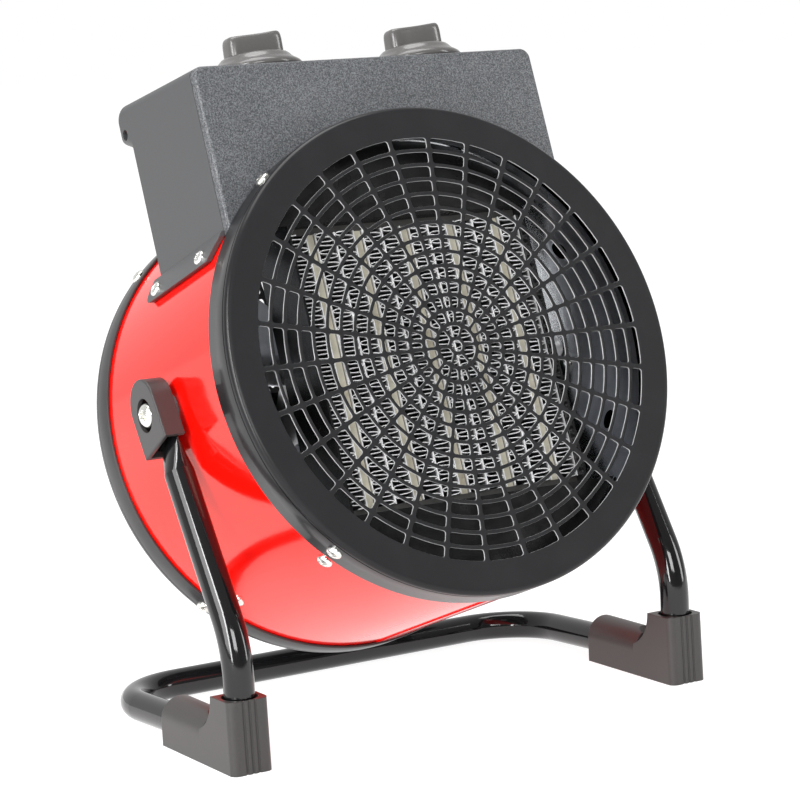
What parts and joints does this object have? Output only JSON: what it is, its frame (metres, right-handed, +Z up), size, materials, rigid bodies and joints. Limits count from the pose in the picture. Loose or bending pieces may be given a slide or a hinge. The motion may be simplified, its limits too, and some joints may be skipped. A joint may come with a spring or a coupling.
{
  "type": "ceramic space heater",
  "caption": "Drum-shaped ceramic fan heater with a slotted grille and a control box on top, tilting in a bent tube stand on moulded feet.",
  "frame": {"origin": "on the floor under the middle of the object's bounding box", "axes": "+Z up, -Y is the way the heater blows, +X across, to the right when facing the grille"},
  "size_m": [0.2588, 0.221, 0.3223],
  "materials": {
    "red_paint": "gloss",
    "black_satin_paint": "satin",
    "black_gloss_paint": "gloss",
    "liner_steel": "polished",
    "insulator_board": "matt",
    "box_plastic": "satin",
    "panel_plastic": "fine grain",
    "knob_plastic": "satin gloss",
    "foot_plastic": "satin",
    "cap_plastic": "satin",
    "zinc": "bright zinc plated",
    "fin_aluminium": "bright",
    "ceramic": "matt",
    "black_steel": "satin",
    "motor_steel": "satin",
    "shaft_steel": "polished",
    "fan_aluminium": "satin",
    "gland_nylon": "satin",
    "control_plastic": "satin",
    "terminal_plastic": "satin",
    "saddle_fibre": "matt"
  },
  "bodies": {
    "stand": {"stand_tube": "black_gloss_paint", "left_foot": "foot_plastic", "right_foot": "foot_plastic", "left_pivot_cap": "cap_plastic", "right_pivot_cap": "cap_plastic", "foot_screws": "zinc"},
    "thermostat_dial": {"thermostat_knob": "knob_plastic", "thermostat_shaft": "shaft_steel"},
    "selector_dial": {"selector_knob": "knob_plastic", "selector_shaft": "shaft_steel"},
    "fan": {"fan_blade": "fan_aluminium", "fan_nut": "zinc", "motor_shaft": "shaft_steel"},
    "head": {"drum_shell": "red_paint", "inner_liner": "liner_steel", "front_grille": "black_satin_paint", "front_grille_screws": "zinc", "rear_grille": "black_satin_paint", "rear_grille_screws": "zinc", "drum_screws": "zinc", "ptc_bars": "ceramic", "fin_packs": "fin_aluminium", "element_frame": "black_steel", "element_insulators": "insulator_board", "element_brackets": "black_steel", "element_terminals": "zinc", "thermal_cutout": "motor_steel", "fan_motor": "motor_steel", "motor_bracket": "black_steel", "motor_screws": "zinc", "control_box_shell": "box_plastic", "control_box_front": "panel_plastic", "control_box_screws": "zinc", "cable_gland": "gland_nylon", "terminal_block": "terminal_plastic", "thermostat": "control_plastic", "rotary_switch": "control_plastic", "panel_nuts": "zinc", "pivot_saddles": "saddle_fibre", "pivot_washers": "zinc", "pivot_bolts": "zinc", "pivot_nuts": "motor_steel"}
  },
  "joints": [
    {"name": "head_tilt", "type": "hinge", "parent": "stand", "child": "head", "pos_m": [0, -0.00611, 0.15232], "axis": [-1, 0, 0], "range_deg": [-20, 30]},
    {"name": "thermostat_turn", "type": "hinge", "parent": "head", "child": "thermostat_dial", "pos_m": [-0.044, 0.02367, 0.30138], "axis": [0, -0.2164, -0.9763], "range_deg": [0, 270]},
    {"name": "selector_turn", "type": "hinge", "parent": "head", "child": "selector_dial", "pos_m": [0.044, 0.02367, 0.30138], "axis": [0, -0.2164, -0.9763], "range_deg": [0, 180]},
    {"name": "fan_spin", "type": "hinge", "parent": "head", "child": "fan", "pos_m": [0, 0.00141, 0.14959], "axis": [0, -0.9397, 0.342], "continuous": true}
  ]
}
